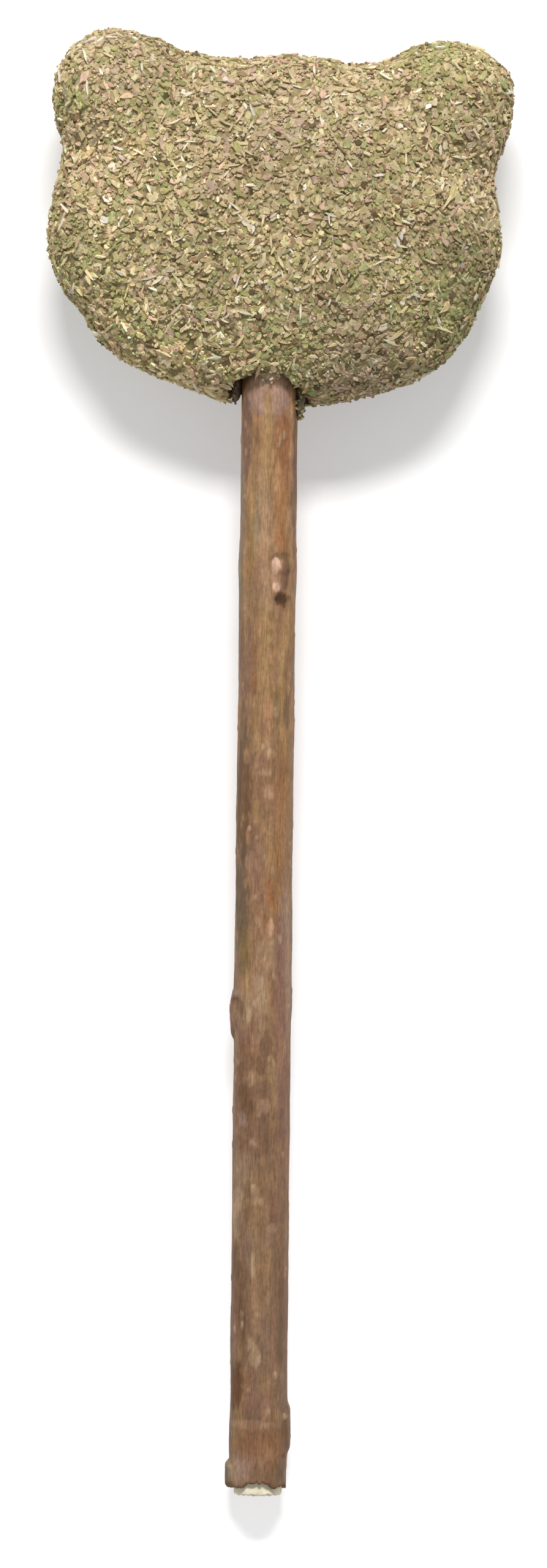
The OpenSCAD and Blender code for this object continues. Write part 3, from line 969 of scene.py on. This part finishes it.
def torn(below):
    """Distances below the chin, drawn back near the lower edge to where it is torn."""
    return below - np.clip(1 - (handle_length - below) / torn_reach, 0, 1) ** 2 * ragged


outer_down = torn(down)
inner_down = np.arange(-insertion, handle_length - 0.5 * MM, inner_step)[:, None]
inner_down = torn(np.vstack([inner_down, [[handle_length]]]))
outer = on_twig(smooth + relief, turns, outer_down)
outer[:, 2] = np.maximum(outer[:, 2], 0)
inner = on_twig(smooth_r(inner_down) - bark_t, turns, inner_down)
rings = len(outer_down) + len(inner_down)
bark_mesh = mesh_of("twig_bark", np.vstack([outer, inner]), rings_closed(rings, bark_sides, loop=True))
inner_bark = (0.3, 0.18, 0.108)
painted(bark_mesh, "bark", np.vstack([colours, np.full((len(inner_down), bark_sides, 3), inner_bark)]))

# The bark peeled off and laid out in three strips, for its colour map
strips = 3
margin = 0.02
strip_rows = math.ceil(rings / strips)
row, side = np.meshgrid(np.arange(rings), np.arange(bark_sides), indexing="ij")
corner_side = side[..., None] + (0, 1, 1, 0)
corner_row = (row % strip_rows)[..., None] + (0, 0, 1, 1)
strip_u = ((row // strip_rows)[..., None] + margin + (1 - 2 * margin) * corner_side / bark_sides) / strips
strip_v = margin / 2 + (1 - margin) * corner_row / strip_rows
mapped(bark_mesh, "OFBake", np.stack([strip_u, strip_v], -1))


def twig_grain(tree, width, length):
    """Coordinates along the twig, for a texture with fibres of this width and length."""
    place = node(tree, "ShaderNodeTexCoord")["Object"]
    inputs = {"Vector": place, "Location": chin, "Rotation": (slope, 0, 0), "Scale": (width, length, width)}
    return node(tree, "ShaderNodeMapping", inputs, vector_type="TEXTURE")[0]


bark_material, tree, shader = material_of("twig bark", 0.6, 0.35)
own = node(tree, "ShaderNodeAttribute", attribute_name="bark")["Color"]
hairs = cloud(tree, twig_grain(tree, 0.14 * MM, 1.6 * MM), 1.0, 4.0)
specks = cloud(tree, twig_grain(tree, 0.3 * MM, 0.5 * MM), 1.0, 3.0)
hair_shade = ramp(tree, hairs, (0.3, (0.74, 0.72, 0.70)), (0.5, white), (0.7, (1.2, 1.2, 1.2)))
speck_shade = ramp(tree, specks, (0.3, (0.84, 0.82, 0.80)), (0.5, white), (0.72, (1.16, 1.15, 1.12)))
bark_colour = multiplied(tree, own, multiplied(tree, hair_shade, speck_shade))
tree.links.new(bark_colour, shader.inputs["Base Color"])
tree.links.new(ranged(tree, specks, 0.0, 1.0, 0.5, 0.8), shader.inputs["Roughness"])
hair_bump = node(tree, "ShaderNodeBump", {"Height": hairs, "Distance": 0.05 * MM, "Strength": 0.7})
speck_bump = node(tree, "ShaderNodeBump", {"Height": specks, "Distance": 0.05 * MM, "Strength": 0.5,
                                           "Normal": hair_bump[0]})
tree.links.new(speck_bump[0], shader.inputs["Normal"])
twig_bark = placed(bark_mesh, bark_material, smooth=True)
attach(twig_bark, "root")
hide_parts("bark")


# ---- Wood ----
# The pale sapwood inside the bark, in two thin year rings. It was sawn through at the lower end, where
# it stands out of the shrunken bark, rough with torn fibres and worn round at its edge.
wood_tip = 0.8 * MM
pith_d = 1.6 * MM
tip_wear = 0.25 * MM
twig_end = handle_length + wood_tip
tip_r = handle_d / 2 - bark_t
wood_sides = 144
face_rings = 22
side_step = 0.2 * MM
tear_depth = 0.12 * MM
saw_depth = 0.03 * MM
side_rough = 0.05 * MM
side_shown = 2 * MM
side_reach = 5 * MM
half_way = 60 * MM
bore_down = np.array([-insertion, half_way, 112 * MM, twig_end - 0.1 * MM])[:, None]
face_r = np.linspace(pith_d / 2, tip_r - tip_wear, face_rings)[:, None]
wear_turn = np.radians([15, 35, 55, 75, 90])[:, None]
side_down = np.arange(twig_end - tip_wear - side_step, handle_length - side_reach, -side_step)[:, None]
hidden_down = np.arange(handle_length - side_reach - 1 * MM, -insertion, -3 * MM)[:, None]
hidden_down = np.vstack([hidden_down, [[-insertion]]])
wood_r = np.vstack([np.full_like(bore_down, pith_d / 2), face_r, tip_r - tip_wear * (1 - np.sin(wear_turn)),
                    np.full_like(side_down, tip_r), smooth_r(hidden_down) - bark_t])
wood_down = np.vstack([bore_down, np.full_like(face_r, twig_end),
                       twig_end - tip_wear * (1 - np.cos(wear_turn)), side_down, hidden_down])
wood_turns = around(wood_sides)
sawn = np.zeros_like(wood_r)
sawn[len(bore_down):len(bore_down) + len(face_r) + len(wear_turn)] = 1
wood_flat = round_axis(wood_r, wood_turns, wood_down)
tear = noise_at((wood_flat * (1, 0.2, 1)).reshape(-1, 3), 0.35 * MM, 3).reshape(len(wood_r), wood_sides)
wander = noise_at(wood_flat.reshape(-1, 3), 1.2 * MM).reshape(tear.shape)
saw_marks = np.sin(wood_flat[..., 0] / (0.09 * MM) + 2 * wander)
wood_rough_down = wood_down + sawn * (tear_depth * (tear - 1) + saw_depth * saw_marks)
wood_rough_r = wood_r + (1 - sawn) * (wood_down > handle_length - side_shown) * side_rough * tear
wood_mesh = mesh_of("twig_wood", on_twig(wood_rough_r, wood_turns, wood_rough_down),
                    rings_closed(len(wood_r), wood_sides, loop=True))

wood_material, tree, shader = material_of("sapwood", 0.75, 0.3)
in_twig = twig_grain(tree, MM, MM)
parts = node(tree, "ShaderNodeSeparateXYZ", {"Vector": in_twig})
flat = node(tree, "ShaderNodeCombineXYZ", {"X": parts["X"], "Y": 0.0, "Z": parts["Z"]})[0]
from_pith = node(tree, "ShaderNodeVectorMath", {0: flat}, operation="LENGTH")
waver = cloud(tree, flat, 0.8, 2.0)
ring_place = node(tree, "ShaderNodeMath", {0: waver, 1: 0.5, 2: from_pith["Value"]},
                  operation="MULTIPLY_ADD")[0]
outer_ring = 2.85
ring_share = ranged(tree, ring_place, pith_d / 2 / MM, outer_ring)
ring_colour = ramp(tree, ring_share, (0.0, (0.55, 0.40, 0.22)), (0.12, (0.80, 0.68, 0.46)),
                   (0.40, (0.74, 0.61, 0.39)), (0.46, (0.58, 0.44, 0.26)), (0.5, (0.84, 0.74, 0.54)),
                   (0.8, (0.94, 0.83, 0.60)), (0.9, (1.0, 0.915, 0.70)))
vessels = cells_of(tree, twig_grain(tree, 0.16 * MM, 6 * MM))["Distance"]
vessel_shade = ramp(tree, vessels, (0.0, (0.55, 0.48, 0.4)), (0.25, white))
soil_shade = ramp(tree, cloud(tree, in_twig, 0.9, 4.0), (0.3, (0.8, 0.77, 0.70)), (0.5, white))
wood_colour = multiplied(tree, multiplied(tree, ring_colour, vessel_shade, 0.8), soil_shade)
tree.links.new(wood_colour, shader.inputs["Base Color"])
roughened(tree, shader, vessels, 0.06 * MM, 0.7)
twig_wood = placed(wood_mesh, wood_material, smooth=True)
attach(twig_wood, "root")
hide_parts("wood")


# ---- Pith ----
# The spongy brown pith in the middle of the wood, soft enough to press in with a nail. It has dried
# back a little from the sawn end, and its torn cells leave it pitted.
pith_recess = 0.3 * MM
pith_overlap = 0.03 * MM
pith_sides = 48
pith_rings = 12
pit_depth = 0.1 * MM
pith_cup = 0.15 * MM
pith_out = pith_d / 2 + pith_overlap
pith_middle = 0.03 * MM
pith_face_r = np.linspace(pith_middle, pith_out, pith_rings)[:, None]
pith_r = np.vstack([pith_face_r, [[pith_out]], [[pith_out]]])
pith_down = np.vstack([np.full_like(pith_face_r, twig_end - pith_recess), [[half_way]], [[-insertion]]])
pith_turns = around(pith_sides)
pith_flat = round_axis(pith_r, pith_turns, pith_down).reshape(-1, 3)
pits = noise_at(pith_flat, 0.3 * MM, 3).reshape(len(pith_r), pith_sides)
pits[-2:] = 0
cupped = pith_cup * (1 - (pith_r / pith_out) ** 2)
pith_rough_down = pith_down + (pit_depth * pits - cupped) * (pits != 0)
pith_mesh = capped("twig_pith", on_twig(pith_r, pith_turns, pith_rough_down), len(pith_r), pith_sides)
pith_material, tree, shader = material_of("pith", 0.9, 0.2)
sponge = cells_of(tree, twig_grain(tree, 0.14 * MM, 0.2 * MM))["Distance"]
pith_colour = ramp(tree, sponge, (0.1, (0.62, 0.46, 0.27)), (0.7, (0.30, 0.19, 0.09)))
tree.links.new(pith_colour, shader.inputs["Base Color"])
roughened(tree, shader, sponge, 0.08 * MM, 0.8, invert=True)
twig_pith = placed(pith_mesh, pith_material, smooth=True)
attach(twig_pith, "root")
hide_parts("pith")
